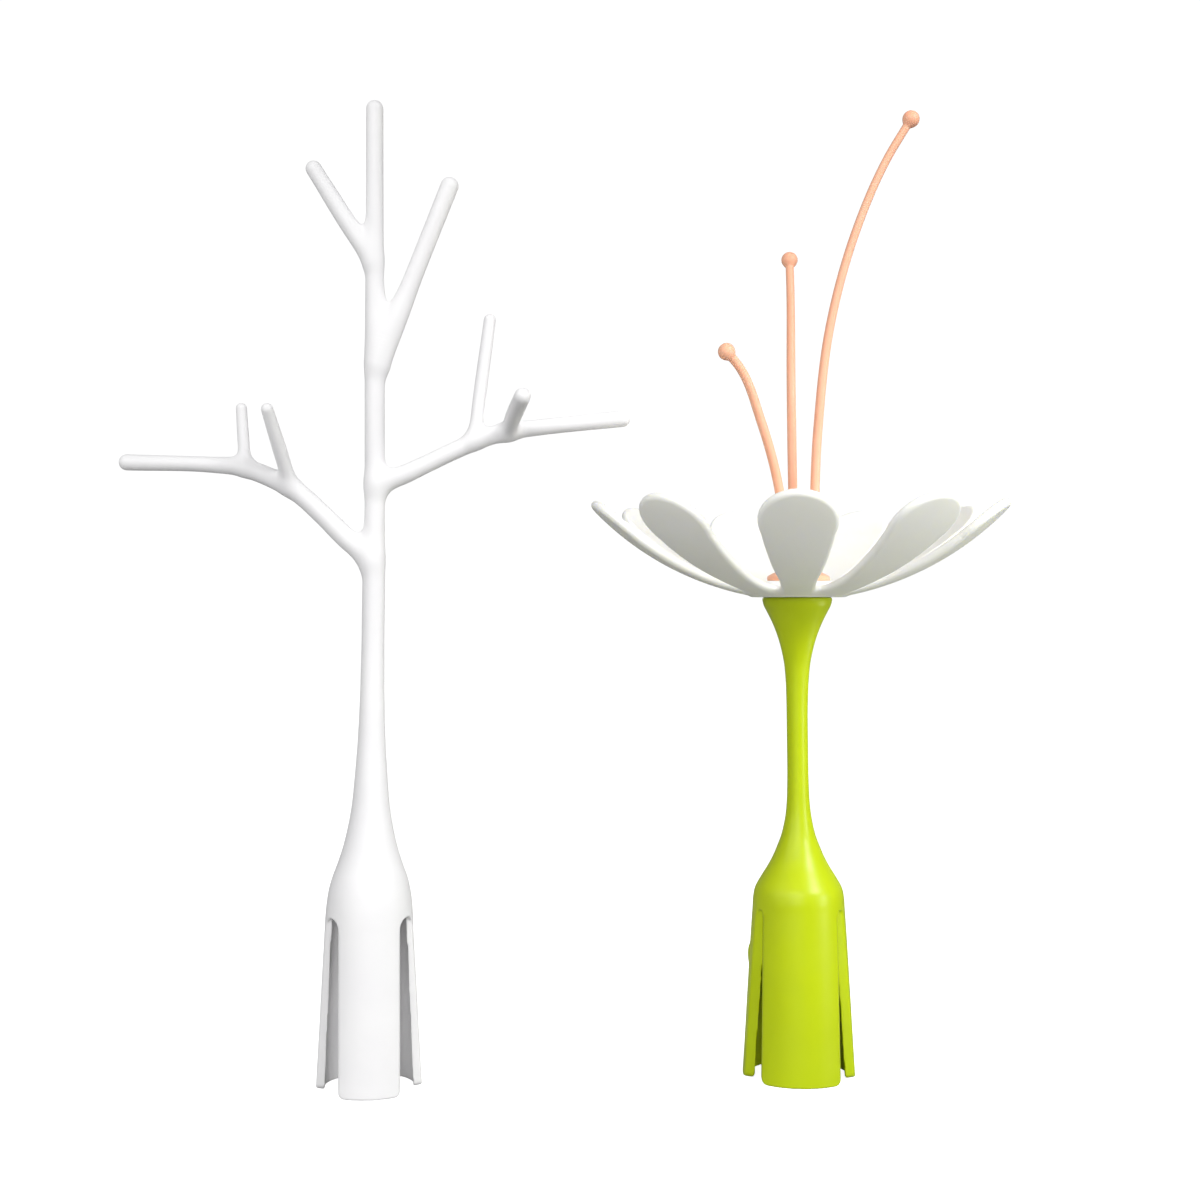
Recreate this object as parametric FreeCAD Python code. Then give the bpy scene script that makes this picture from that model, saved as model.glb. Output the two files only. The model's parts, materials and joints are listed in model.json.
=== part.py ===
import FreeCAD, Part
import math
import os

# Two drying posts for a blade-type bottle drying rack, standing side by side:
# a bare twig with branches for teats and valves, and a flower whose petal dish and
# three flexible stamens hold small parts. Each post is hollow at the foot and split
# into three prongs that push down between the blades of a rack.
#
# Millimetres. +Z up, -Y is the side seen from the front, +X to the right from there.
# The origin is under the middle of the whole pair, on the surface the prongs stand on.

Vec = FreeCAD.Vector
UP = Vec(0, 0, 1)
SPARE = 3.0  # how far a cutting shape runs past what it cuts

# ---- Places of the two posts -------------------------------------------------
TWIG_AT = Vec(-55.7, -12.32, 0)
FLOWER_AT = Vec(68.1, 0.48, 0)

# ---- Slotted feet, shared by both posts --------------------------------------
COLLAR_Z = 44.0  # the prongs end here and the unbroken collar begins
SLOT_TOP_Z = 49.0
CORNER_R = 1.6  # bottom corners of a prong
ARCH_EXTRA = 0.1  # the round top of a slot is this much wider than the slot, each side
PRONGS = {"front": -90.0, "right": 30.0, "left": 150.0}
SLOT_ANGLES = (-30.0, 90.0, 210.0)
CORE_NECK_Z = 65.0  # top of the hollow inside the shoulder
CORE_NECK_R = 4.2

# ---- Twig post ---------------------------------------------------------------
TWIG_FOOT_R = 15.0
TWIG_COLLAR_R = 12.4
TWIG_BORE_FOOT_R = 12.6
TWIG_BORE_TOP_R = 10.8
TWIG_PRONG_HALF_W = 8.55
TWIG_FOOT_TURN = 7.6  # degrees that the prongs are turned from the branches
TRUNK_LEAN = 0.0132  # sideways drift of the trunk per mm of height
TRUNK_LEAN_MAX = 1.6
TRUNK_FOOT_Z = 87.0
LEADER_FOOT_Z = 204.0
TWIG_SHOULDER = ((COLLAR_Z, 12.62), (49.0, 12.4), (54.0, 11.9), (60.0, 10.5), (66.7, 8.2),
                 (73.5, 6.5), (80.0, 5.4), (TRUNK_FOOT_Z, 4.75))
TRUNK = ((TRUNK_FOOT_Z, 4.75), (97.5, 4.0), (110.0, 3.5), (144.0, 3.2), (181.0, 2.85),
         (LEADER_FOOT_Z, 2.85))
LEADER = ((LEADER_FOOT_Z, 2.85), (225.0, 2.7), (246.0, 2.45))
LEADER_PIN_R = 2.45
LEADER_TIP_Z = 281.0

# Each limb: stations (x, y, z, radius) from its root, then the centre of its round end.
# The last run is a plain cylinder of the last radius, for a teat or a valve to sit on.
UPPER_LEFT = ((0.9, 0, 233.5, 2.5), (-3.2, 0, 241.2, 2.3), (-7.4, 0, 247.967, 2.3))
UPPER_LEFT_END = (-15.8, 0, 261.5)
UPPER_RIGHT = ((2.6, 0, 203.0, 3.2), (6.2, 0, 214.0, 2.8), (12.6, 0, 230.6, 2.5))
UPPER_RIGHT_END = (22.9, 0, 256.5)
LEFT_BOUGH = ((1.1, 0, 149.0, 3.2), (-5.7, 0, 155.3, 2.85), (-13.4, 0, 163.0, 2.8),
              (-19.7, 0, 168.7, 2.8), (-27.5, 0, 173.2, 2.75), (-37.6, 0, 176.6, 2.6),
              (-44.5, 0, 177.1, 2.3))
LEFT_BOUGH_END = (-69.0, 0, 177.8)
LEFT_UPRIGHT = ((-35.2, 0, 175.5, 2.0), (-35.6, 0, 181.0, 1.6))
LEFT_UPRIGHT_END = (-36.4, 0, 193.2)
LEFT_FORWARD = ((-22.2, 0, 170.6, 2.3), (-23.3, -4.3, 176.6, 1.8))
LEFT_FORWARD_END = (-26.2, -15.0, 191.3)
RIGHT_BOUGH = ((1.2, 0, 170.8, 3.2), (8.3, 0, 173.6, 2.6), (16.5, 0, 177.4, 2.5),
               (24.5, 0, 181.2, 2.5), (33.5, 0, 185.0, 2.6), (43.0, 0, 187.1, 2.4),
               (48.0, 0, 187.7, 2.3))
RIGHT_BOUGH_END = (72.1, 0, 190.2)
RIGHT_UPRIGHT = ((29.9, 0, 183.8, 2.1), (31.0, 0, 193.0, 1.75))
RIGHT_UPRIGHT_END = (34.4, 0, 218.3)
RIGHT_FORWARD = ((39.6, 0, 186.2, 2.6), (41.1, -7.5, 189.0, 2.25))
RIGHT_FORWARD_END = (44.8, -25.0, 193.7)

# ---- Flower post: stem -------------------------------------------------------
STEM_FOOT_R = 16.4
STEM_COLLAR_R = 13.05
STEM_BORE_FOOT_R = 14.0
STEM_BORE_TOP_R = 11.4
STEM_PRONG_HALF_W = 10.6
STEM_FOOT_TURN = -2.5
STEM_SHOULDER = ((49.0, STEM_COLLAR_R), (52.5, 12.95), (57.9, 10.6), (63.9, 7.5),
                 (69.8, 5.3), (75.8, 3.8), (84.8, 3.05))
NECK_Z = 84.8
NECK_R = 3.05
CUP_Z = 112.0
RIM_Z = 139.4
RIM_R = 10.0
CUP = ((CUP_Z, NECK_R), (120.6, 3.75), (126.5, 5.0), (132.5, 7.25), (136.6, 9.4))
RIM_BAND_Z = 137.8  # the outside of the cup is upright from here to the rim
SOCKET_R = 4.0
SOCKET_FLOOR_Z = 129.4
# Low oval bump on the outside of the left prong.
BUMP_ANGLE = 174.0
BUMP_Z = 34.9
BUMP_SIZE = (0.7, 2.0, 3.0)
BUMP_SINK = 0.3

# ---- Flower post: petal dish -------------------------------------------------
PETAL_COUNT = 9
PETALS_TURN = -6.5
PETAL_THICKNESS = 2.6
DISH_ARC_R = 96.5  # radius of the underside along a petal
DISH_START_SLOPE = 13.0  # degrees, where a petal leaves the hub
HUB_R = 14.6
HUB_FOOT_R = 10.6
HUB_EDGE_Z = 140.3
HUB_TOP_Z = 143.0
PETAL_TIP_R = 60.7  # outermost point of a petal's rounded tip
# Half of a petal's outline seen from above: (distance from the axis, half width).
PETAL_OUTLINE = ((HUB_R - 1.5, 4.5), (22.0, 5.1), (33.0, 7.4), (45.0, 10.1), (52.5, 9.9),
                 (58.2, 6.6))
PETAL_OUTLINE_END = 61.1

# ---- Flower post: stamens ----------------------------------------------------
CAP_R = 9.1
CAP_EDGE_Z = 144.8
CAP_TOP_Z = 148.0
PLUG_CLEARANCE = 0.05
PLUG_FOOT_Z = 131.0
ROOT_Z = 146.2  # each stamen bends about this height
ROOT_POCKET_FLOOR_Z = 144.3
ROOT_POCKET_R = (1.9, 2.7)
ROOT_POCKET_HEIGHT = 5.0
HEEL = 0.9  # how far a stamen goes on below its bending point
BALL_R = 2.5
STAMENS = {
    "short": ((-3.6, -2.4, ROOT_Z, 1.37), (-5.3, -3.4, 169.6, 1.37), (-10.9, -5.6, 189.9, 1.37),
              (-18.4, -8.6, 206.2, 1.3), (-21.7, -9.8, 209.8, 1.3)),
    "middle": ((-1.0, 4.2, ROOT_Z, 1.37), (-1.4, 6.0, 172.0, 1.37), (-1.0, 13.0, 205.0, 1.35),
               (0.1, 22.0, 232.6, 1.25), (0.2, 25.6, 243.0, 1.25)),
    "tall": ((4.3, -0.6, ROOT_Z, 1.37), (5.6, -0.8, 188.2, 1.37), (9.2, -1.0, 218.8, 1.3),
             (16.1, -1.3, 244.6, 1.25), (25.6, -1.6, 267.0, 1.2), (32.6, -1.8, 278.7, 1.2)),
}


def export(name, shape):
    """Writes one sub-part and says what it holds."""
    os.makedirs("parts", exist_ok=True)
    shape = shape.removeSplitter()
    if len(shape.Solids) != 1:
        raise RuntimeError("%s has %d solids" % (name, len(shape.Solids)))
    shape.exportStep("parts/" + name + ".step")
    box = shape.BoundBox
    print("%-28s %8.1f mm3  x %7.2f %7.2f  y %7.2f %7.2f  z %7.2f %7.2f" % (
        name, shape.Volume, box.XMin, box.XMax, box.YMin, box.YMax, box.ZMin, box.ZMax))
    return box


def polar(angle, radius, z=0.0):
    turned = math.radians(angle)
    return Vec(radius * math.cos(turned), radius * math.sin(turned), z)


def disc_wire(centre, normal, radius):
    return Part.Wire([Part.makeCircle(radius, centre, normal)])


def spun(outline, closing):
    """Turns a smooth (z, radius) outline, closed by straight runs, about the Z axis."""
    curve = Part.BSplineCurve()
    curve.interpolate([Vec(radius, 0, z) for z, radius in outline])
    corners = [Vec(outline[-1][1], 0, outline[-1][0])]
    corners += [Vec(radius, 0, z) for z, radius in closing]
    corners.append(Vec(outline[0][1], 0, outline[0][0]))
    edges = [curve.toShape()]
    edges += [Part.makeLine(a, b) for a, b in zip(corners, corners[1:])]
    face = Part.Face(Part.Wire(edges))
    return face.revolve(Vec(0, 0, 0), UP, 360)


def spun_polygon(corners):
    """Turns a (radius, z) polygon about the Z axis."""
    points = [Vec(radius, 0, z) for radius, z in corners]
    face = Part.Face(Part.makePolygon(points + points[:1]))
    return face.revolve(Vec(0, 0, 0), UP, 360)


# ---- Limbs -------------------------------------------------------------------
def limb(stations, end, ball_r=None):
    """A smooth tapering limb, whose last run is a plain cylinder with a round end or a ball."""
    centres = [Vec(x, y, z) for x, y, z, radius in stations] + [Vec(*end)]
    last_radius = stations[-1][3]
    last_direction = (centres[-1] - centres[-2]).normalize()
    wires = []
    for index, station in enumerate(stations):
        before = centres[max(index - 1, 0)]
        direction = (centres[index + 1] - before).normalize()
        if index == len(stations) - 1:
            direction = last_direction
        wires.append(disc_wire(centres[index], direction, station[3]))
    bent = Part.makeLoft(wires, True)
    length = (centres[-1] - centres[-2]).Length
    straight = Part.makeCylinder(last_radius, length, centres[-2], last_direction)
    if ball_r:
        tip = Part.makeSphere(ball_r, centres[-1], last_direction)
    else:
        tip = Part.makeSphere(last_radius, centres[-1], last_direction, 0, 90, 360)
    return bent.fuse([straight, tip])


def trunk_piece(stations):
    """A stretch of the leaning trunk, lofted through level circles of given radius."""
    wires = []
    for z, radius in stations:
        lean = min(max(z - COLLAR_Z, 0) * TRUNK_LEAN, TRUNK_LEAN_MAX)
        wires.append(disc_wire(Vec(lean, 0, z), UP, radius))
    return Part.makeLoft(wires, True)


# ---- Slotted feet ------------------------------------------------------------
def core(foot_r, top_r):
    """The hollow inside a foot, narrowing into the shoulder."""
    flare = (foot_r - top_r) / SLOT_TOP_Z
    return spun_polygon(((0, -SPARE), (foot_r + flare * SPARE, -SPARE), (top_r, SLOT_TOP_Z),
                         (CORE_NECK_R, CORE_NECK_Z), (0, CORE_NECK_Z)))


def foot_prong(angle, foot_r, collar_r, hollow, half_width):
    """One prong: a slab of the flared tube, with parallel sides and rounded corners."""
    wall = Part.makeCone(foot_r, collar_r, SLOT_TOP_Z)
    reach = 2 * foot_r
    slab = Part.makeBox(reach, 2 * half_width, 2 * COLLAR_Z, Vec(0, -half_width, 0))
    corners = [edge for edge in slab.Edges
               if edge.BoundBox.XLength > reach / 2 and edge.BoundBox.ZMax < 1]
    slab = slab.makeFillet(CORNER_R, corners)
    slab.rotate(Vec(0, 0, 0), UP, angle)
    third = Part.makeCylinder(reach, COLLAR_Z, Vec(0, 0, 0), UP, 120)
    third.rotate(Vec(0, 0, 0), UP, angle - 60)
    return wall.cut(hollow).common(slab).common(third)


def slot_arch(angle, collar_r, half_width):
    """The round top of the slot between two prongs, cut into the collar."""
    apex = half_width / math.sin(math.radians(60))
    outer = collar_r + SPARE
    half_mouth = (outer - apex) * math.tan(math.radians(60))
    wedge = Part.Face(Part.makePolygon([Vec(apex, 0, COLLAR_Z), Vec(outer, -half_mouth, COLLAR_Z),
                                        Vec(outer, half_mouth, COLLAR_Z), Vec(apex, 0, COLLAR_Z)]))
    wedge = wedge.extrude(Vec(0, 0, SLOT_TOP_Z - COLLAR_Z + SPARE))
    half_gap = collar_r * math.sin(math.radians(60) - math.asin(half_width / collar_r))
    arch_r = half_gap + ARCH_EXTRA
    arch = Part.makeCylinder(arch_r, outer, Vec(0, 0, SLOT_TOP_Z - arch_r), Vec(1, 0, 0))
    legs = Part.makeBox(outer, 2 * arch_r, SLOT_TOP_Z - arch_r - COLLAR_Z,
                        Vec(0, -arch_r, COLLAR_Z))
    cutter = arch.fuse(legs).common(wedge)
    cutter.rotate(Vec(0, 0, 0), UP, angle)
    return cutter


# ---- Twig post ---------------------------------------------------------------
def make_twig():
    parts = {}
    hollow = core(TWIG_BORE_FOOT_R, TWIG_BORE_TOP_R)
    shoulder = trunk_piece(TWIG_SHOULDER).cut(hollow)
    for angle in SLOT_ANGLES:
        turned = angle + TWIG_FOOT_TURN
        shoulder = shoulder.cut(slot_arch(turned, TWIG_COLLAR_R, TWIG_PRONG_HALF_W))
    parts["twig_shoulder"] = shoulder
    for side, angle in PRONGS.items():
        parts["twig_prong_" + side] = foot_prong(
            angle + TWIG_FOOT_TURN, TWIG_FOOT_R, TWIG_COLLAR_R, hollow, TWIG_PRONG_HALF_W)

    trunk = trunk_piece(TRUNK)
    top = Vec(TRUNK_LEAN_MAX, 0, LEADER[-1][0])
    tip = Vec(TRUNK_LEAN_MAX, 0, LEADER_TIP_Z - LEADER_PIN_R)
    leader = trunk_piece(LEADER)
    leader = leader.fuse([Part.makeCylinder(LEADER_PIN_R, (tip - top).Length, top, UP),
                          Part.makeSphere(LEADER_PIN_R, tip, UP, 0, 90, 360)])
    parts["twig_trunk"] = trunk
    parts["twig_leader"] = leader

    stem = trunk.fuse(leader)
    left_bough = limb(LEFT_BOUGH, LEFT_BOUGH_END).cut(stem)
    right_bough = limb(RIGHT_BOUGH, RIGHT_BOUGH_END).cut(stem)
    parts["twig_left_bough"] = left_bough
    parts["twig_right_bough"] = right_bough
    parts["twig_upper_left_branch"] = limb(UPPER_LEFT, UPPER_LEFT_END).cut(stem)
    parts["twig_upper_right_branch"] = limb(UPPER_RIGHT, UPPER_RIGHT_END).cut(stem)
    parts["twig_left_upright_twiglet"] = limb(LEFT_UPRIGHT, LEFT_UPRIGHT_END).cut(left_bough)
    parts["twig_left_forward_twiglet"] = limb(LEFT_FORWARD, LEFT_FORWARD_END).cut(left_bough)
    parts["twig_right_upright_twiglet"] = limb(RIGHT_UPRIGHT, RIGHT_UPRIGHT_END).cut(right_bough)
    parts["twig_right_forward_twiglet"] = limb(RIGHT_FORWARD, RIGHT_FORWARD_END).cut(right_bough)
    return parts


# ---- Flower post -------------------------------------------------------------
def make_bump():
    """The low oval bump, standing out of the wall of a prong."""
    wall_r = STEM_FOOT_R + (STEM_COLLAR_R - STEM_FOOT_R) * BUMP_Z / SLOT_TOP_Z
    stretch = FreeCAD.Matrix()
    stretch.scale(*BUMP_SIZE)
    bump = Part.makeSphere(1.0).transformGeometry(stretch)
    bump.rotate(Vec(0, 0, 0), UP, BUMP_ANGLE)
    bump.translate(polar(BUMP_ANGLE, wall_r - BUMP_SINK, BUMP_Z))
    return bump


def make_stem():
    parts = {}
    hollow = core(STEM_BORE_FOOT_R, STEM_BORE_TOP_R)
    collar_foot_r = STEM_FOOT_R + (STEM_COLLAR_R - STEM_FOOT_R) * COLLAR_Z / SLOT_TOP_Z
    shoulder = spun(STEM_SHOULDER, ((NECK_Z, 0), (COLLAR_Z, 0), (COLLAR_Z, collar_foot_r)))
    shoulder = shoulder.cut(hollow)
    for angle in SLOT_ANGLES:
        turned = angle + STEM_FOOT_TURN
        shoulder = shoulder.cut(slot_arch(turned, STEM_COLLAR_R, STEM_PRONG_HALF_W))
    parts["stem_shoulder"] = shoulder
    for side, angle in PRONGS.items():
        parts["stem_prong_" + side] = foot_prong(
            angle + STEM_FOOT_TURN, STEM_FOOT_R, STEM_COLLAR_R, hollow, STEM_PRONG_HALF_W)
    parts["stem_prong_left"] = parts["stem_prong_left"].fuse(make_bump().cut(hollow))

    parts["stem_neck"] = Part.makeCylinder(NECK_R, CUP_Z - NECK_Z, Vec(0, 0, NECK_Z))
    cup = spun(CUP, ((RIM_BAND_Z, RIM_R), (RIM_Z, RIM_R), (RIM_Z, 0), (CUP_Z, 0)))
    socket = Part.makeCylinder(SOCKET_R, RIM_Z, Vec(0, 0, SOCKET_FLOOR_Z))
    parts["stem_cup"] = cup.cut(socket)
    return parts


def dish_point(distance, arc_r, measured_r):
    """The point on an arc of the dish that faces the given distance on another arc."""
    slope = math.radians(DISH_START_SLOPE)
    arc_middle = Vec(HUB_R - DISH_ARC_R * math.sin(slope), 0,
                     HUB_EDGE_Z + DISH_ARC_R * math.cos(slope))
    share = (distance - arc_middle.x) / measured_r
    return arc_middle + Vec(share, 0, -math.sqrt(1 - share ** 2)) * arc_r


def make_petals():
    parts = {}
    top_arc_r = DISH_ARC_R - PETAL_THICKNESS
    middle_arc_r = DISH_ARC_R - PETAL_THICKNESS / 2
    tip_at = PETAL_TIP_R - PETAL_THICKNESS / 2
    tip = dish_point(tip_at, middle_arc_r, middle_arc_r)
    low, high = [[dish_point(distance, arc_r, middle_arc_r)
                  for distance in (HUB_R - SPARE, (HUB_R + tip_at) / 2, tip_at)]
                 for arc_r in (DISH_ARC_R, top_arc_r)]
    along = Vec(0, 1, 0).cross(high[-1] - low[-1]).normalize()
    edges = [Part.Arc(*low).toShape(), Part.Arc(*high).toShape(), Part.makeLine(low[0], high[0]),
             Part.Arc(low[-1], tip + along * (PETAL_THICKNESS / 2), high[-1]).toShape()]
    dish = Part.Face(Part.Wire(Part.__sortEdges__(edges)))
    dish = dish.revolve(Vec(0, 0, 0), UP, 360)

    one_side = [Vec(r, width, 0) for r, width in PETAL_OUTLINE]
    other_side = [Vec(point.x, -point.y, 0) for point in reversed(one_side)]
    outline = Part.BSplineCurve()
    outline.interpolate(one_side + [Vec(PETAL_OUTLINE_END, 0, 0)] + other_side)
    root = Part.makeLine(other_side[-1], one_side[0])
    prism = Part.Face(Part.Wire([outline.toShape(), root])).extrude(Vec(0, 0, 2 * RIM_Z))
    hub_cylinder = Part.makeCylinder(HUB_R, 2 * RIM_Z)
    petal = dish.common(prism).cut(hub_cylinder)
    for index in range(PETAL_COUNT):
        angle = -90 + PETALS_TURN + index * 360 / PETAL_COUNT
        turned = petal.copy()
        turned.rotate(Vec(0, 0, 0), UP, angle)
        parts["petal_%d" % (index + 1)] = turned

    hub_top_edge_z = dish_point(HUB_R, top_arc_r, top_arc_r).z
    hub = spun_polygon(((SOCKET_R, RIM_Z), (HUB_FOOT_R, RIM_Z), (HUB_R, HUB_EDGE_Z),
                        (HUB_R, hub_top_edge_z), (CAP_R, HUB_TOP_Z), (SOCKET_R, HUB_TOP_Z)))
    parts["petal_hub"] = hub
    return parts


def make_stamens():
    parts = {}
    rise = CAP_TOP_Z - CAP_EDGE_Z
    dome_r = (CAP_R ** 2 + rise ** 2) / (2 * rise)
    dome = Part.makeSphere(dome_r, Vec(0, 0, CAP_TOP_Z - dome_r))
    cap = Part.makeCylinder(CAP_R, CAP_TOP_Z - HUB_TOP_Z, Vec(0, 0, HUB_TOP_Z)).common(dome)
    plug = Part.makeCylinder(SOCKET_R - PLUG_CLEARANCE, HUB_TOP_Z - PLUG_FOOT_Z,
                             Vec(0, 0, PLUG_FOOT_Z))
    cap = cap.fuse(plug)
    for stations in STAMENS.values():
        x, y = stations[0][:2]
        pocket = Part.makeCone(*ROOT_POCKET_R, ROOT_POCKET_HEIGHT, Vec(x, y, ROOT_POCKET_FLOOR_Z))
        cap = cap.cut(pocket)
    parts["stamen_cap"] = cap
    for name, stations in STAMENS.items():
        root = Vec(*stations[0][:3])
        down = (root - Vec(*stations[1][:3])).normalize()
        rod = limb(stations[:-1], stations[-1][:3], BALL_R)
        heel = Part.makeCylinder(stations[0][3], HEEL, root, down)
        parts["stamen_" + name] = rod.fuse(heel)
    return parts


def main():
    posts = ((TWIG_AT, make_twig()), (FLOWER_AT, make_stem()), (FLOWER_AT, make_petals()),
             (FLOWER_AT, make_stamens()))
    whole = FreeCAD.BoundBox()
    for place, parts in posts:
        for name, shape in parts.items():
            shape.translate(place)
            whole.add(export(name, shape))
    print("whole x %.3f %.3f  y %.3f %.3f  z %.3f %.3f" % (
        whole.XMin, whole.XMax, whole.YMin, whole.YMax, whole.ZMin, whole.ZMax))


main()
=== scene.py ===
import json
import math

import bpy
import numpy as np
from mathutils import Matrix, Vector


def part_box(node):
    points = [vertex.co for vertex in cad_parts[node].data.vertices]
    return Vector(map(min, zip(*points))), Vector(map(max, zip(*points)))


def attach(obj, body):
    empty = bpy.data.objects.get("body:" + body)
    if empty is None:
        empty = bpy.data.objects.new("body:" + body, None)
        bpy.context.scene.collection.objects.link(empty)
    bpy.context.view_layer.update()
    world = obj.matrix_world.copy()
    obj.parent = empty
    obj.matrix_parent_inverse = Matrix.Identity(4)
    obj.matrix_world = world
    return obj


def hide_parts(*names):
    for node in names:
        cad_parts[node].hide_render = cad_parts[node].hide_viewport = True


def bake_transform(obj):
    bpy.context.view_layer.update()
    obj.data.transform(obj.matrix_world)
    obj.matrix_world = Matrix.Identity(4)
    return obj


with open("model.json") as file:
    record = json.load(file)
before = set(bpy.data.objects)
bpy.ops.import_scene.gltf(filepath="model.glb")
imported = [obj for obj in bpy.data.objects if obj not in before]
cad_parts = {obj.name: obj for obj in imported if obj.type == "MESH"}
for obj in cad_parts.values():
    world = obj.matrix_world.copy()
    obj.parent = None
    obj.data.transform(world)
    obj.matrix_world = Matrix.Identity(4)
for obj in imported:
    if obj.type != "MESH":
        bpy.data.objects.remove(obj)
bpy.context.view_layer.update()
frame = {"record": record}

# Two drying posts: a white branching twig, and a flower with a green stem, a white petal
# dish and three coral stamens. Each moulding is one closed mesh, made as the surface where
# a distance field is zero, so that branches, prongs and petals run into each other through
# true fillets. Shapes are worked out in millimetres round each post's own upright axis.

MM = 0.001


def middle_of(node):
    """The middle of a CAD node seen from above, in millimetres."""
    low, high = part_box(node)
    return np.array([(low.x + high.x) / 2, (low.y + high.y) / 2, 0.0]) / MM


# ---- Sizes in millimetres ------------------------------------------------------------
TRUNK_LEAN = 0.0132  # sideways drift of the trunk for each mm of height
LEAN_FROM_Z = 44.0
LEAN_MAX = 1.6
TWIG_AXIS = middle_of("twig_leader") - np.array([LEAN_MAX, 0.0, 0.0])
FLOWER_AXIS = middle_of("stem_neck")
TIP_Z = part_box("twig_leader")[1].z / MM
RIM_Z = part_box("stem_cup")[1].z / MM
HUB_TOP_Z = RIM_Z + 4.7

SLOT_TOP_Z = 49.0
PRONG_EDGE_R = 0.45
PRONG_CORNER_R = 1.6
PRONG_ANGLES = (-90.0, 30.0, 150.0)
SLOT_EDGE_R = 0.3
HOLLOW_TOP_Z = 65.0
HOLLOW_TOP_R = 4.2
FOOT_TOP_Z = HOLLOW_TOP_Z + 10  # the feet are only worked out below this
ARCH_MARGIN = 0.1  # how much wider the arch over a slot is than half the slot
FAR = 50.0  # a distance that stands for no surface nearby

# Each prong is half_width either side of its middle at the top, and flare more at the foot.
TWIG_FOOT = dict(turn=7.6, half_width=8.55, flare=0.0, collar=12.4, bore_foot=12.6, bore_top=10.8)
STEM_FOOT = dict(turn=-2.5, half_width=10.6, flare=0.7, collar=13.05, bore_foot=14.0,
                 bore_top=11.4)

# Heights and radii of the two turned outlines.
TRUNK_TOP_Z = 204.0  # the leader goes on from here
TRUNK = ((-3.0, 15.16), (0.0, 15.0), (24.5, 13.7), (44.0, 12.62), (49.0, 12.4), (53.0, 12.05),
         (56.5, 11.5), (60.0, 10.55), (63.3, 9.35), (66.7, 8.2), (73.5, 6.5), (80.0, 5.4),
         (87.0, 4.75), (97.5, 4.0), (110.0, 3.5), (124.0, 3.25), (144.0, 3.2), (161.0, 2.9),
         (181.0, 2.85), (TRUNK_TOP_Z, 2.85), (212.0, 2.85))
STEM = ((-3.0, 16.6), (0.0, 16.4), (24.5, 14.95), (44.0, 13.75), (49.0, 13.4), (52.0, 13.2),
        (54.6, 12.65), (57.9, 10.85), (60.9, 9.0), (63.9, 7.4), (66.9, 6.15), (69.8, 5.05),
        (72.8, 4.3), (75.8, 3.75), (79.0, 3.4), (84.8, 3.15), (97.0, 3.08), (110.0, 3.17),
        (116.0, 3.42), (120.6, 3.9), (123.6, 4.5), (126.5, 5.25), (129.5, 6.25), (132.5, 7.5),
        (135.3, 8.9), (137.0, 9.75), (138.2, 10.08), (RIM_Z + 3.0, 10.08))
STEM_LEAN = ((0.0, 75.0, 105.0, 200.0), (0.1, 0.0, -0.35, -0.35))  # (heights, drifts in x)
RIM_EDGE_R = 0.7
BUMP_ANGLE = 174.0
BUMP_Z = 34.9
BUMP_SIZE = np.array([0.7, 2.0, 3.0])  # half sizes outward, across and upward
BUMP_SINK = 0.3  # how far its middle is inside the wall
BUMP_REACH = 0.3

# Each limb: (x, y, z, radius) from just inside its parent to the centre of its round end,
# with the reach of the fillet that joins it on.
TWIG_LIMBS = (
    (5.0, ((-0.6, 0, 150.2, 2.1), (-5.7, 0, 155.3, 2.85), (-13.4, 0, 163.0, 2.8),
           (-19.7, 0, 168.7, 2.8), (-27.5, 0, 173.2, 2.75), (-37.6, 0, 176.6, 2.6),
           (-44.5, 0, 177.1, 2.3), (-69.0, 0, 177.8, 2.3))),
    (5.0, ((3.0, 0, 171.6, 2.0), (8.3, 0, 173.6, 2.6), (16.5, 0, 177.4, 2.5),
           (24.5, 0, 181.2, 2.5), (33.5, 0, 185.0, 2.6), (43.0, 0, 187.1, 2.4),
           (48.0, 0, 187.7, 2.3), (72.1, 0, 190.2, 2.3))),
    (4.0, ((0.4, 0, 235.2, 1.7), (-3.2, 0, 241.2, 2.3), (-15.8, 0, 261.5, 2.3))),
    (5.0, ((3.4, 0, 206.0, 2.0), (6.2, 0, 214.0, 2.75), (12.6, 0, 230.6, 2.5),
           (22.9, 0, 256.5, 2.5))),
    (3.0, ((-35.2, 0, 176.5, 1.5), (-35.6, 0, 181.0, 1.65), (-36.4, 0, 193.2, 1.55))),
    (3.5, ((-22.3, -0.6, 171.4, 1.7), (-23.3, -4.3, 176.6, 1.95), (-26.2, -15.0, 191.3, 1.7))),
    (3.5, ((29.9, 0, 184.6, 1.6), (31.0, 0, 193.0, 1.8), (34.4, 0, 218.3, 1.72))),
    (3.5, ((39.7, -0.8, 186.6, 2.0), (41.1, -7.5, 189.0, 2.25), (44.8, -25.0, 193.7, 2.25))),
)
LEADER_TIP_R = 2.45
LEADER = ((LEAN_MAX, 0, 196.0, 2.86), (LEAN_MAX, 0, 225.0, 2.7), (LEAN_MAX, 0, 246.0, 2.5),
          (LEAN_MAX, 0, TIP_Z - LEADER_TIP_R, LEADER_TIP_R))

PETALS = 9
PETALS_TURN = -6.5
PETAL_HALF_THICKNESS = 1.3
PETAL_EDGE_R = 1.25
DISH_ARC_R = 85.06  # radius of the middle of a petal's thickness
DISH_ARC_MIDDLE = (-2.43, 224.58)  # (distance from the axis, height) of the arc's centre
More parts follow.
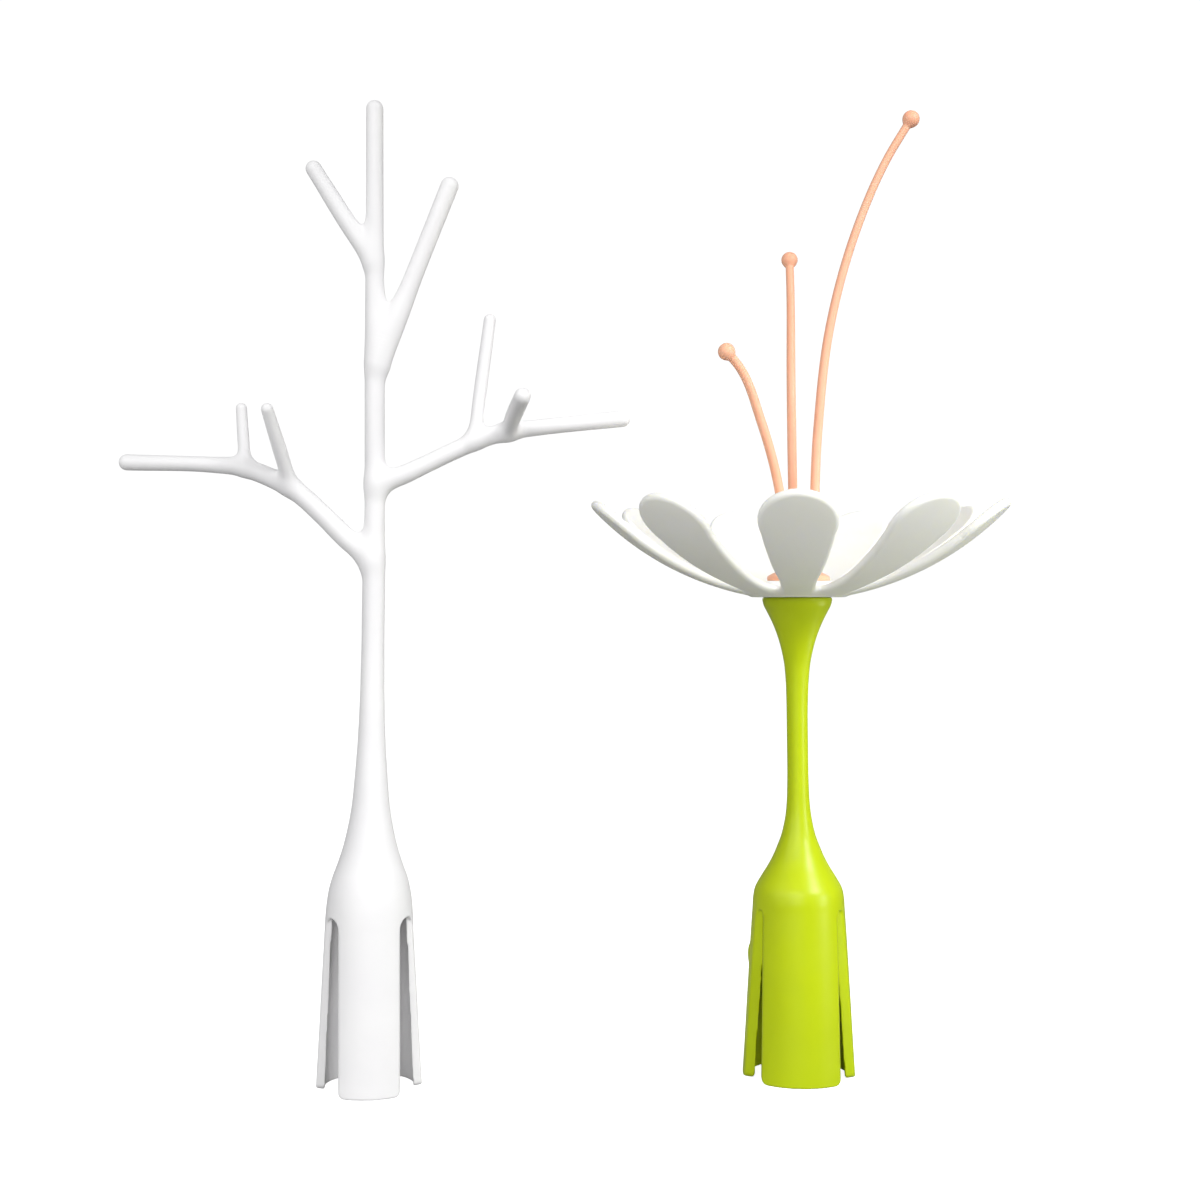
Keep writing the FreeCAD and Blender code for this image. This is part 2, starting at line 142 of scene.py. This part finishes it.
# A petal's outline as circles along it: (distance along its arc, radius). The arc is
# measured from right under its centre.
PETAL_OUTLINE = ((10.0, 4.6), (20.0, 4.75), (24.5, 5.0), (28.5, 5.3), (32.2, 5.85), (35.7, 6.6),
                 (39.3, 7.35), (45.8, 8.5), (54.9, 10.0), (59.7, 10.4), (61.4, 9.0))
CROTCH_REACH = 5.0  # fillet where two petals part
HUB_R = 13.6
HUB_EDGE_R = 0.8
HUB_REACH = 1.6  # fillet between the hub and the petals
DISH_FOOT_EDGE_R = 0.15
SOCKET_R = 4.0
SOCKET_FLOOR_Z = 129.4
SOCKET_EDGE_R = 0.3
HUB_HOLE_EDGE_R = 0.25

CAP_R = 9.1
CAP_EDGE_Z = 145.5
CAP_TOP_Z = 148.0
CAP_EDGE_R = 0.7
CAP_FOOT_Z = HUB_TOP_Z + 0.05
CAP_FOOT_EDGE_R = 0.3
PLUG_R = 3.95
PLUG_FOOT_Z = 131.0
PLUG_EDGE_R = 0.8
BALL_R = 2.5
BALL_REACH = 0.9  # fillet between a ball and its rod
ROOT_FLARE = 0.9
ROOT_FLARE_LENGTH = 0.8
ROOT_Z = 146.2
STAMENS = {
    "short": ((-3.9, -2.4, ROOT_Z, 1.37), (-5.8, -3.4, 169.6, 1.37), (-11.3, -5.6, 189.9, 1.37),
              (-18.4, -8.6, 206.2, 1.3), (-21.7, -9.8, 209.8, 1.3)),
    "middle": ((-0.6, 4.2, ROOT_Z, 1.37), (-1.0, 6.0, 172.0, 1.37), (-0.7, 13.0, 205.0, 1.35),
               (0.1, 22.0, 232.6, 1.25), (0.2, 25.6, 243.0, 1.25)),
    "tall": ((4.3, -0.6, ROOT_Z, 1.37), (5.6, -0.8, 188.2, 1.37), (9.2, -1.0, 218.8, 1.3),
             (16.1, -1.3, 244.6, 1.25), (25.6, -1.6, 267.0, 1.2), (32.6, -1.8, 278.7, 1.2)),
}

# ---- Camera and light ----------------------------------------------------------------
CAMERA_FROM_TWIG = np.array([65.8, -494.5, 138.0])
LENS_MM = 52.05
SENSOR_MM = 36.0
HORIZON_SHIFT = 0.00167
BACKDROP = 1.05
AMBIENT = 0.27
FLOOR_GLOW = 0.9  # keeps the floor as white as the background, apart from soft shadows
FLOOR_BOUNCE = 0.45
FLOOR_HALF = 2.5


def add_object(name, data):
    made = bpy.data.objects.new(name, data)
    bpy.context.scene.collection.objects.link(made)
    return made


def add_camera():
    data = bpy.data.cameras.new("camera")
    data.lens = LENS_MM
    data.sensor_width = SENSOR_MM
    data.shift_y = HORIZON_SHIFT
    camera = add_object("camera", data)
    camera.location = (TWIG_AXIS + CAMERA_FROM_TWIG) * MM
    camera.rotation_euler = (math.radians(90), 0, 0)
    bpy.context.scene.camera = camera
    view = bpy.context.scene.view_settings
    view.view_transform = "Standard"
    view.look = "None"


def add_area(name, place, target, size, power, spread=180, colour=(1, 1, 1)):
    """A soft rectangular lamp, which lights a cone of that many degrees."""
    data = bpy.data.lights.new(name, "AREA")
    data.shape = "RECTANGLE"
    data.size, data.size_y = size
    data.energy = power
    data.color = colour
    data.spread = math.radians(spread)
    lamp = add_object(name, data)
    lamp.location = place
    lamp.rotation_euler = (Vector(target) - Vector(place)).to_track_quat("-Z", "Y").to_euler()


def show_camera(nodes, links, seen, given, surface):
    """The camera sees one shader there, and every other ray meets the other one."""
    path = nodes.new("ShaderNodeLightPath")
    mix = nodes.new("ShaderNodeMixShader")
    links.new(path.outputs["Is Camera Ray"], mix.inputs[0])
    links.new(given.outputs[0], mix.inputs[1])
    links.new(seen.outputs[0], mix.inputs[2])
    links.new(mix.outputs[0], surface)


def add_world():
    """White behind everything, with a dimmer and even light on the object."""
    world = bpy.data.worlds.new("studio")
    bpy.context.scene.world = world
    world.use_nodes = True
    nodes, links = world.node_tree.nodes, world.node_tree.links
    nodes.clear()
    seen = nodes.new("ShaderNodeBackground")
    seen.inputs["Color"].default_value = (1, 1, 1, 1)
    seen.inputs["Strength"].default_value = BACKDROP
    given = nodes.new("ShaderNodeBackground")
    given.inputs["Color"].default_value = (0.97, 0.985, 1, 1)
    given.inputs["Strength"].default_value = AMBIENT
    out = nodes.new("ShaderNodeOutputWorld")
    show_camera(nodes, links, seen, given, out.inputs["Surface"])


def add_floor():
    half = FLOOR_HALF
    mesh = bpy.data.meshes.new("floor")
    mesh.from_pydata([(-half, -half, 0), (half, -half, 0), (half, half, 0), (-half, half, 0)],
                     [], [(0, 1, 2, 3)])
    floor = add_object("floor", mesh)
    material = bpy.data.materials.new("floor")
    material.use_nodes = True
    material.cycles.emission_sampling = "NONE"  # only the camera sees the floor's glow
    nodes, links = material.node_tree.nodes, material.node_tree.links
    nodes.clear()
    seen = nodes.new("ShaderNodeBsdfPrincipled")
    seen.inputs["Base Color"].default_value = (0.9, 0.9, 0.9, 1)
    seen.inputs["Roughness"].default_value = 1.0
    seen.inputs["Specular IOR Level"].default_value = 0.0
    seen.inputs["Emission Color"].default_value = (1, 1, 1, 1)
    seen.inputs["Emission Strength"].default_value = FLOOR_GLOW
    given = nodes.new("ShaderNodeBsdfDiffuse")
    given.inputs["Color"].default_value = (FLOOR_BOUNCE, FLOOR_BOUNCE, FLOOR_BOUNCE, 1)
    out = nodes.new("ShaderNodeOutputMaterial")
    show_camera(nodes, links, seen, given, out.inputs["Surface"])
    mesh.materials.append(material)


def add_lights():
    twig = Vector(TWIG_AXIS * MM)
    flower = Vector(FLOWER_AXIS * MM)
    # Places and sizes in metres, powers in watts, cones in degrees.
    aim = (flower.x + 0.04, flower.y, 0.14)
    add_area("key_right", (flower.x + 0.45, -0.4, 0.6), aim, (0.3, 0.3), 0.25, 32)
    add_area("strip_right", (flower.x + 0.5, -0.3, 0.2), aim, (0.12, 0.3), 0.07, 32)
    add_area("bounce", (flower.x + 0.3, 0.0, 0.02), (flower.x + 0.02, flower.y, 0.155), (0.2, 0.1),
             0.016, 25, (0.97, 1, 0.8))
    add_area("key_left", (twig.x - 0.8, -0.6, 0.6), (twig.x, twig.y, 0.16), (0.6, 0.8), 2.6)
    add_area("front", (-0.22, -1.2, 0.62), (0.0, 0.0, 0.14), (0.9, 0.9), 8.1)


# ---- Distance fields -----------------------------------------------------------------
def smooth_or(a, b, reach):
    """Union of two distances with a soft fillet of that reach."""
    near = np.maximum(reach - np.abs(a - b), 0) / reach
    return np.minimum(a, b) - near * near * reach / 4


def round_and(a, b, radius):
    """Intersection of two distances, with the edge between them rounded."""
    corner = np.hypot(np.maximum(radius + a, 0), np.maximum(radius + b, 0))
    return np.minimum(-radius, np.maximum(a, b)) + corner


def round_or(a, b, radius):
    return -round_and(-a, -b, radius)


def eased(stations, spans=8):
    """More stations between the given ones, on a smooth curve through them."""
    points = np.array(stations, float)
    gaps = np.maximum(np.linalg.norm(np.diff(points[:, :-1], axis=0), axis=1), 1e-6)
    slopes = np.diff(points, axis=0) / gaps[:, None]
    tangents = np.vstack([slopes[:1], slopes, slopes[-1:]])
    weights = np.concatenate([gaps[:1], gaps, gaps[-1:]])
    w0, w1 = weights[:-1, None], weights[1:, None]
    tangents = (tangents[:-1] * w1 + tangents[1:] * w0) / (w0 + w1)
    rows = []
    for i, gap in enumerate(gaps):
        for t in np.arange(spans) / spans:
            h1, h2 = 2 * t ** 3 - 3 * t ** 2 + 1, t ** 3 - 2 * t ** 2 + t
            h3, h4 = 3 * t ** 2 - 2 * t ** 3, t ** 3 - t ** 2
            rows.append(h1 * points[i] + h2 * gap * tangents[i]
                        + h3 * points[i + 1] + h4 * gap * tangents[i + 1])
    rows.append(points[-1])
    return np.array(rows)


NEAR = 6.0  # a chain's field is only worked out this close to it


def chain(points, stations):
    """Distance to round-ended tapering rods, end to end, with any number of dimensions."""
    ends = stations[:, :-1]
    reach = stations[:, -1].max() + NEAR
    low, high = ends.min(0) - reach, ends.max(0) + reach
    near = np.all((points > low) & (points < high), axis=1)
    best = np.full(len(points), NEAR)
    inside = points[near]
    found = np.full(len(inside), NEAR)
    for start, end in zip(stations, stations[1:]):
        run = end[:-1] - start[:-1]
        offset = inside - start[:-1]
        share = np.clip(offset @ run / max(run @ run, 1e-12), 0, 1)
        gap = np.linalg.norm(offset - share[:, None] * run, axis=1)
        found = np.minimum(found, gap - start[-1] - share * (end[-1] - start[-1]))
    best[near] = found
    return best


class Turned:
    """Distance to a turned outline of (height, radius) stations."""

    def __init__(self, stations, spans=8):
        curve = eased(stations, spans)
        self.heights, self.radii = curve[:, 0], curve[:, 1]
        self.slopes = np.gradient(self.radii, self.heights)

    def __call__(self, distance, z):
        radius = np.interp(z, self.heights, self.radii)
        slope = np.interp(z, self.heights, self.slopes)
        return (distance - radius) / np.sqrt(1 + slope ** 2)


def turned_by(points, angle):
    """x and y of points as seen from a frame turned by that many degrees."""
    c, s = math.cos(math.radians(angle)), math.sin(math.radians(angle))
    return points[:, 0] * c + points[:, 1] * s, points[:, 1] * c - points[:, 0] * s


def hollow_outline(foot):
    """The straight-sided hollow of a foot, which narrows above the slots."""
    return Turned(((-3.0, foot["bore_foot"]), (0.0, foot["bore_foot"]),
                   (SLOT_TOP_Z, foot["bore_top"]), (HOLLOW_TOP_Z, HOLLOW_TOP_R),
                   (HOLLOW_TOP_Z + 4, 1.0)), spans=1)


def slotted_foot(points, outside, foot, hollow):
    """Hollows the foot of a turned shape and splits it into three prongs."""
    distance = np.hypot(points[:, 0], points[:, 1])
    z = points[:, 2]
    bore = np.maximum(hollow(distance, z), z - HOLLOW_TOP_Z)
    shell = np.maximum(outside, -bore)
    half_width = foot["half_width"]
    half_gap = foot["collar"] * math.sin(math.pi / 3 - math.asin(half_width / foot["collar"]))
    arch_r = half_gap + ARCH_MARGIN
    below_arch = -5.0  # under the arch the flanks alone make the slot
    half_width = half_width + foot["flare"] * np.clip(1 - z / SLOT_TOP_Z, 0, 1)
    cut = np.full(len(points), FAR)
    for angle in PRONG_ANGLES:
        along, across = turned_by(points, angle + 60 + foot["turn"])
        flanks = half_width - along * math.sin(math.pi / 3) + np.abs(across) / 2
        rise = np.maximum(z - (SLOT_TOP_Z - arch_r), 0)
        arch = np.hypot(across, rise) - arch_r
        cut = np.minimum(cut, round_and(flanks, np.where(rise > 0, arch, below_arch),
                                        SLOT_EDGE_R))
    cut = round_or(cut, z, PRONG_CORNER_R)
    return round_and(shell, -cut, PRONG_EDGE_R)


trunk_outline = Turned(TRUNK)
twig_hollow = hollow_outline(TWIG_FOOT)
twig_limbs = [(reach, eased(stations)) for reach, stations in TWIG_LIMBS]
leader = eased(LEADER, 2)


def twig_field(points):
    z = points[:, 2]
    lean = np.clip((z - LEAN_FROM_Z) * TRUNK_LEAN, 0, LEAN_MAX)
    trunk = trunk_outline(np.hypot(points[:, 0] - lean, points[:, 1]), z)
    field = np.minimum(np.maximum(trunk, z - TRUNK_TOP_Z), chain(points, leader))
    for reach, stations in twig_limbs:
        field = smooth_or(field, chain(points, stations), reach)
    low = z < FOOT_TOP_Z
    field[low] = slotted_foot(points[low], field[low], TWIG_FOOT, twig_hollow)
    return field


stem_outline = Turned(STEM)
stem_hollow = hollow_outline(STEM_FOOT)


def stem_field(points):
    z = points[:, 2]
    distance = np.hypot(points[:, 0] - np.interp(z, *STEM_LEAN), points[:, 1])
    field = stem_outline(distance, z)
    outward, across = turned_by(points, BUMP_ANGLE)
    wall = np.interp(BUMP_Z, stem_outline.heights, stem_outline.radii) - BUMP_SINK
    place = np.stack([outward - wall, across, z - BUMP_Z], axis=1) / BUMP_SIZE
    bump = (np.linalg.norm(place, axis=1) - 1) * BUMP_SIZE[0]
    field = smooth_or(field, bump, BUMP_REACH)
    low = z < FOOT_TOP_Z
    field[low] = slotted_foot(points[low], field[low], STEM_FOOT, stem_hollow)
    field = round_and(field, z - RIM_Z, RIM_EDGE_R)
    socket = np.maximum(distance - SOCKET_R, SOCKET_FLOOR_Z - z)
    return round_and(field, -socket, SOCKET_EDGE_R)


petal_outline = eased(PETAL_OUTLINE)
petal_outline = np.insert(petal_outline, 1, 0.0, axis=1)  # (along, across, radius)


def dish_field(points):
    z = points[:, 2]
    distance = np.hypot(points[:, 0], points[:, 1])
    arc_out, arc_z = DISH_ARC_MIDDLE
    from_arc = np.hypot(distance - arc_out, z - arc_z)
    plate = np.abs(from_arc - DISH_ARC_R) - PETAL_HALF_THICKNESS
    foot = arc_out + DISH_ARC_R * (distance - arc_out) / from_arc
    pitch = math.radians(360 / PETALS)
    angle = np.arctan2(points[:, 1], points[:, 0]) - math.radians(PETALS_TURN - 90)
    angle = (angle + pitch / 2) % pitch - pitch / 2
    field = np.full(len(points), FAR)
    for side in (-1, 0, 1):
        outward = (foot * np.cos(angle + side * pitch) - arc_out) / DISH_ARC_R
        along = DISH_ARC_R * np.arcsin(np.clip(outward, -1, 1))
        across = foot * np.sin(angle + side * pitch)
        field = smooth_or(field, chain(np.stack([along, across], axis=1), petal_outline),
                          CROTCH_REACH)
    field = round_and(plate, field, PETAL_EDGE_R)
    slab = np.abs(z - (RIM_Z + HUB_TOP_Z) / 2) - (HUB_TOP_Z - RIM_Z) / 2
    hub = round_and(distance - HUB_R, slab, HUB_EDGE_R)
    field = smooth_or(field, hub, HUB_REACH)
    field = round_and(field, RIM_Z - z, DISH_FOOT_EDGE_R)
    return round_and(field, SOCKET_R - distance, HUB_HOLE_EDGE_R)


# ---- Meshes from fields ---------------------------------------------------------------
BLOCK = 8
CORNERS = np.array([(x, y, z) for x in (0, 1) for y in (0, 1) for z in (0, 1)])


def lattice_values(field, low, counts, step):
    """The field on a lattice, worked out in full only in the blocks near its surface."""
    blocks = np.stack(np.meshgrid(*[np.arange(n) for n in counts], indexing="ij"), -1)
    blocks = blocks.reshape(-1, 3)
    rough = field(low + (blocks + 0.5) * BLOCK * step)
    values = rough.reshape(counts).astype(np.float32)
    for axis in range(3):
        values = np.repeat(values, BLOCK, axis)
    tiles = values.reshape(counts[0], BLOCK, counts[1], BLOCK, counts[2], BLOCK)
    within = np.stack(np.meshgrid(*[np.arange(BLOCK)] * 3, indexing="ij"), -1).reshape(-1, 3)
    near = blocks[np.abs(rough) < BLOCK * step * 0.87 + 2 * step]
    for first in range(0, len(near), 512):
        some = near[first:first + 512]
        places = low + (some[:, None] * BLOCK + within) * step
        found = field(places.reshape(-1, 3)).reshape(-1, BLOCK, BLOCK, BLOCK)
        tiles[some[:, 0], :, some[:, 1], :, some[:, 2], :] = found
    return values


def surface_net(values):
    """One vertex in each cell the surface passes through, and a quad for each crossed edge."""
    inside = values < 0
    filled = sum(inside[x:inside.shape[0] - 1 + x, y:inside.shape[1] - 1 + y,
                        z:inside.shape[2] - 1 + z].astype(np.uint8) for x, y, z in CORNERS)
    cells = np.argwhere((filled > 0) & (filled < 8))
    index = np.full(filled.shape, -1, np.int32)
    index[tuple(cells.T)] = np.arange(len(cells))
    at_corners = [values[tuple((cells + corner).T)] for corner in CORNERS]
    total, count = np.zeros((len(cells), 3)), np.zeros(len(cells))
    for a in range(8):
        for b in range(a + 1, 8):
            if np.abs(CORNERS[a] - CORNERS[b]).sum() != 1:
                continue
            crossed = (at_corners[a] < 0) != (at_corners[b] < 0)
            share = at_corners[a][crossed] / (at_corners[a][crossed] - at_corners[b][crossed])
            total[crossed] += CORNERS[a] + share[:, None] * (CORNERS[b] - CORNERS[a])
            count[crossed] += 1
    places = cells + total / count[:, None]
    quads = []
    step = np.eye(3, dtype=int)
    for axis in range(3):
        one, side, other = step[axis], step[(axis + 1) % 3], step[(axis + 2) % 3]
        upper = inside[one[0]:, one[1]:, one[2]:]
        lower = inside[:upper.shape[0], :upper.shape[1], :upper.shape[2]]
        edges = np.argwhere(lower != upper)
        edges = edges[(edges[:, (axis + 1) % 3] > 0) & (edges[:, (axis + 2) % 3] > 0)]
        ring = np.stack([index[tuple((edges - away).T)]
                         for away in (side + other, other, one * 0, side)], axis=1)
        outward = inside[tuple(edges.T)]
        quads += [ring[outward], ring[~outward][:, ::-1]]
    return places, np.concatenate(quads)


def gradient(field, points, reach=0.02):
    steps = np.eye(3) * reach
    return np.stack([field(points + s) - field(points - s) for s in steps], axis=1) / (2 * reach)


def settle(field, points, limit):
    """Moves points onto the field's surface along its gradient."""
    slope = gradient(field, points)
    steep = np.maximum((slope ** 2).sum(1, keepdims=True), 0.05)
    move = -field(points)[:, None] * slope / steep
    length = np.linalg.norm(move, axis=1, keepdims=True)
    return points + move * np.minimum(1, limit / np.maximum(length, 1e-9))


def moulded(name, field, low, high, step, axis):
    """A closed mesh of the field's surface, with normals from the field itself."""
    low, high = np.array(low, float) - 2 * step, np.array(high, float) + 2 * step
    counts = np.ceil((high - low) / (step * BLOCK)).astype(int)
    places, quads = surface_net(lattice_values(field, low, counts, step))
    points = low + places * step
    for _ in range(2):
        total, count = np.zeros_like(points), np.zeros(len(points))
        for corner in range(4):
            a, b = quads[:, corner], quads[:, (corner + 1) % 4]
            for one, other in ((a, b), (b, a)):
                np.add.at(total, one, points[other])
                np.add.at(count, one, 1)
        points = settle(field, (points + total / count[:, None]) / 2, step)
    for _ in range(2):
        points = settle(field, points, step / 2)
    normals = gradient(field, points)
    normals /= np.maximum(np.linalg.norm(normals, axis=1, keepdims=True), 1e-9)
    mesh = bpy.data.meshes.new(name)
    mesh.from_pydata(((points + axis) * MM).tolist(), [], quads.tolist())
    mesh.shade_smooth()
    mesh.normals_split_custom_set_from_vertices(normals.tolist())
    return add_object(name, mesh)


# ---- Swept and turned meshes ------------------------------------------------------------
ROD_SIDES = 24
CAP_SIDES = 96


def ringed(name, rings, axis):
    """A closed tube through rings of points, with a point at each end."""
    count = len(rings[0])
    points = [rings[0].mean(0)] + [p for ring in rings for p in ring] + [rings[-1].mean(0)]
    faces = []
    for row in range(len(rings) - 1):
        for i in range(count):
            a, b = 1 + row * count + i, 1 + row * count + (i + 1) % count
            faces.append((a, b, b + count, a + count))
    last = len(points) - 1
    top = 1 + (len(rings) - 1) * count
    for i in range(count):
        faces.append((0, 1 + (i + 1) % count, 1 + i))
        faces.append((last, top + i, top + (i + 1) % count))
    mesh = bpy.data.meshes.new(name)
    mesh.from_pydata(((np.array(points) + axis) * MM).tolist(), [], faces)
    mesh.shade_smooth()
    return add_object(name, mesh)


def stamen(name, stations):
    """A tapering rod with a flared root and a ball at the tip."""
    curve = eased(stations, 40)
    centres, radii = curve[:, :3], curve[:, 3]
    past = centres[-1] - centres[-2]
    past /= np.linalg.norm(past)
    tip = [centres[-1] + past * BALL_R * t for t in np.linspace(0.05, 0.999, 14)]
    centres = np.vstack([centres, tip])
    radii = np.concatenate([radii, np.full(len(tip), radii[-1])])
    ball_at = curve[-1, :3]
    from_ball = np.linalg.norm(centres - ball_at, axis=1)
    ball = np.sqrt(np.maximum(BALL_R ** 2 - from_ball ** 2, 0))
    before = np.arange(len(centres)) < len(curve)
    neck = np.where(before, radii, 0)
    radii = -smooth_or(-neck, -ball, BALL_REACH)
    radii[~before] = ball[~before]
    from_root = np.linalg.norm(centres - centres[0], axis=1)
    past_root = np.maximum(from_root - ROOT_FLARE_LENGTH, 0)
    radii += ROOT_FLARE * np.exp(-past_root / ROOT_FLARE_LENGTH)
    tangents = np.gradient(centres, axis=0)
    tangents /= np.linalg.norm(tangents, axis=1, keepdims=True)
    side = np.cross(tangents[0], [0.0, 1.0, 0.0])
    rings = []
    turns = np.linspace(0, 2 * math.pi, ROD_SIDES, endpoint=False)
    for centre, tangent, radius in zip(centres, tangents, radii):
        side = side - tangent * (side @ tangent)
        side /= np.linalg.norm(side)
        other = np.cross(tangent, side)
        rings.append(centre + radius * (np.cos(turns)[:, None] * side
                                        + np.sin(turns)[:, None] * other))
    return ringed(name, rings, FLOWER_AXIS)


def arc(middle, radius, start, end, count=7):
    angles = np.radians(np.linspace(start, end, count))
    return [(middle[0] + radius * math.cos(a), middle[1] + radius * math.sin(a)) for a in angles]


def stamen_cap():
    """The domed coral cap with its plug, turned about the post's axis."""
    rise = CAP_TOP_Z - CAP_EDGE_Z
    dome_r = (CAP_R ** 2 + rise ** 2) / (2 * rise)
    middle = CAP_TOP_Z - dome_r
    plug_edge = (PLUG_R - PLUG_EDGE_R, PLUG_FOOT_Z + PLUG_EDGE_R)
    outline = [(0.4, PLUG_FOOT_Z), (plug_edge[0], PLUG_FOOT_Z)]
    outline += arc(plug_edge, PLUG_EDGE_R, -90, 0)
    outline += [(PLUG_R, z) for z in np.linspace(PLUG_FOOT_Z + 2, CAP_FOOT_Z, 8)]
    outline += [(r, CAP_FOOT_Z) for r in np.linspace(PLUG_R + 0.6, CAP_R - 0.4, 8)]
    outline += arc((CAP_R - CAP_FOOT_EDGE_R, CAP_FOOT_Z + CAP_FOOT_EDGE_R), CAP_FOOT_EDGE_R,
                   -90, 0, 4)
    slope = math.degrees(math.asin(CAP_R / dome_r))
    shoulder_r = CAP_R - CAP_EDGE_R
    shoulder_z = middle + math.sqrt((dome_r - CAP_EDGE_R) ** 2 - shoulder_r ** 2)
    outline += arc((shoulder_r, shoulder_z), CAP_EDGE_R, 0, 90 - slope)
    for distance in np.linspace(shoulder_r - 0.4, 0.3, 16):
        outline.append((distance, middle + math.sqrt(dome_r ** 2 - distance ** 2)))
    turns = np.linspace(0, 2 * math.pi, CAP_SIDES, endpoint=False)
    rings = [np.stack([r * np.cos(turns), r * np.sin(turns), np.full(CAP_SIDES, z)], axis=1)
             for r, z in outline]
    return ringed("stamen_cap_cover", rings, FLOWER_AXIS)


# ---- Materials ------------------------------------------------------------------------
MIX_A, MIX_B, MIX_RESULT = 6, 7, 2  # the colour sockets of a mix node
NOISE_LOW = 0.3  # most of a noise's values lie between these two
NOISE_HIGH = 0.7
# Scales of the noises, as features in each metre.
MOTTLE_SCALE = 38
POLISH_SCALE = 95
GRAIN_SCALE = 2400
GRAIN_DEPTH = 0.0002
GRAIN_STRENGTH = 0.05
SUBSURFACE_DEPTH = 0.002


def linear(colour):
    """Linear light for a colour given as it shows on a screen, from 0 to 255."""
    shares = [c / 255 for c in colour]
    return [s / 12.92 if s <= 0.04045 else ((s + 0.055) / 1.055) ** 2.4 for s in shares]


def plastic(name, light, dark, roughness, subsurface, tint, shine=0.3):
    """Satin moulded plastic: faint flow mottling, uneven polish and a fine moulded grain."""
    material = bpy.data.materials.new(name)
    material.use_nodes = True
    nodes, links = material.node_tree.nodes, material.node_tree.links
    shader = nodes["Principled BSDF"]
    place = nodes.new("ShaderNodeTexCoord").outputs["Object"]

    def noise(scale, detail):
        node = nodes.new("ShaderNodeTexNoise")
        node.inputs["Scale"].default_value = scale
        node.inputs["Detail"].default_value = detail
        links.new(place, node.inputs["Vector"])
        return node.outputs["Fac"]

    def ranged(value, low, high):
        node = nodes.new("ShaderNodeMapRange")
        node.inputs["From Min"].default_value = NOISE_LOW
        node.inputs["From Max"].default_value = NOISE_HIGH
        node.inputs["To Min"].default_value = low
        node.inputs["To Max"].default_value = high
        links.new(value, node.inputs["Value"])
        return node.outputs["Result"]

    mix = nodes.new("ShaderNodeMix")
    mix.data_type = "RGBA"
    mix.inputs[MIX_A].default_value = (*linear(light), 1)
    mix.inputs[MIX_B].default_value = (*linear(dark), 1)
    links.new(ranged(noise(MOTTLE_SCALE, 3.0), 0, 1), mix.inputs[0])
    links.new(mix.outputs[MIX_RESULT], shader.inputs["Base Color"])
    polish = ranged(noise(POLISH_SCALE, 4.0), roughness - 0.05, roughness + 0.07)
    links.new(polish, shader.inputs["Roughness"])
    bump = nodes.new("ShaderNodeBump")
    bump.inputs["Strength"].default_value = GRAIN_STRENGTH
    bump.inputs["Distance"].default_value = GRAIN_DEPTH
    links.new(noise(GRAIN_SCALE, 1.5), bump.inputs["Height"])
    links.new(bump.outputs["Normal"], shader.inputs["Normal"])
    shader.inputs["Specular IOR Level"].default_value = shine
    shader.inputs["Subsurface Weight"].default_value = subsurface
    shader.inputs["Subsurface Radius"].default_value = tint
    shader.inputs["Subsurface Scale"].default_value = SUBSURFACE_DEPTH
    return material


# ---- The object -------------------------------------------------------------------------
# Width of the cells that each moulding is meshed with.
TWIG_STEP = 0.5
STEM_STEP = 0.43
DISH_STEP = 0.52


def finish_piece(piece, material, body, nodes):
    piece.data.materials.append(material)
    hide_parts(*nodes)
    if body:
        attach(piece, body)


def make_object():
    bodies = frame["record"]["behaviour"]["bodies"]
    white = plastic("twig_plastic", (247, 246, 246), (241, 240, 241), 0.42, 0.2, (1, 1, 1))
    green = plastic("stem_plastic", (189, 207, 0), (183, 201, 0), 0.35, 0.25, (0.8, 1, 0.2),
                    0.35)
    cream = plastic("petal_plastic", (249, 249, 243), (246, 246, 238), 0.45, 0.5, (1, 0.96, 0.7))
    coral = plastic("stamen_plastic", (250, 190, 158), (249, 182, 149), 0.38, 0.25,
                    (1, 0.55, 0.35))

    twig = moulded("twig_moulding", twig_field, (-74, -28.5, 0), (77, 16, TIP_Z), TWIG_STEP,
                   TWIG_AXIS)
    finish_piece(twig, white, "twig_post", bodies["twig_post"])
    stem = moulded("stem_moulding", stem_field, (-18, -18, 0), (18, 18, RIM_Z), STEM_STEP,
                   FLOWER_AXIS)
    finish_piece(stem, green, "flower_stem", bodies["flower_stem"])
    dish = moulded("petal_moulding", dish_field, (-62.5, -62.5, RIM_Z), (62.5, 62.5, 170), DISH_STEP,
                   FLOWER_AXIS)
    finish_piece(dish, cream, "petal_dish", bodies["petal_dish"])
    finish_piece(stamen_cap(), coral, "stamen_cap", ["stamen_cap"])
    for name, stations in STAMENS.items():
        body = "stamen_" + name
        rod = stamen(body + "_rod", stations)
        finish_piece(rod, coral, None, [body])
        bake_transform(rod)


add_camera()
add_world()
add_floor()
add_lights()
make_object()
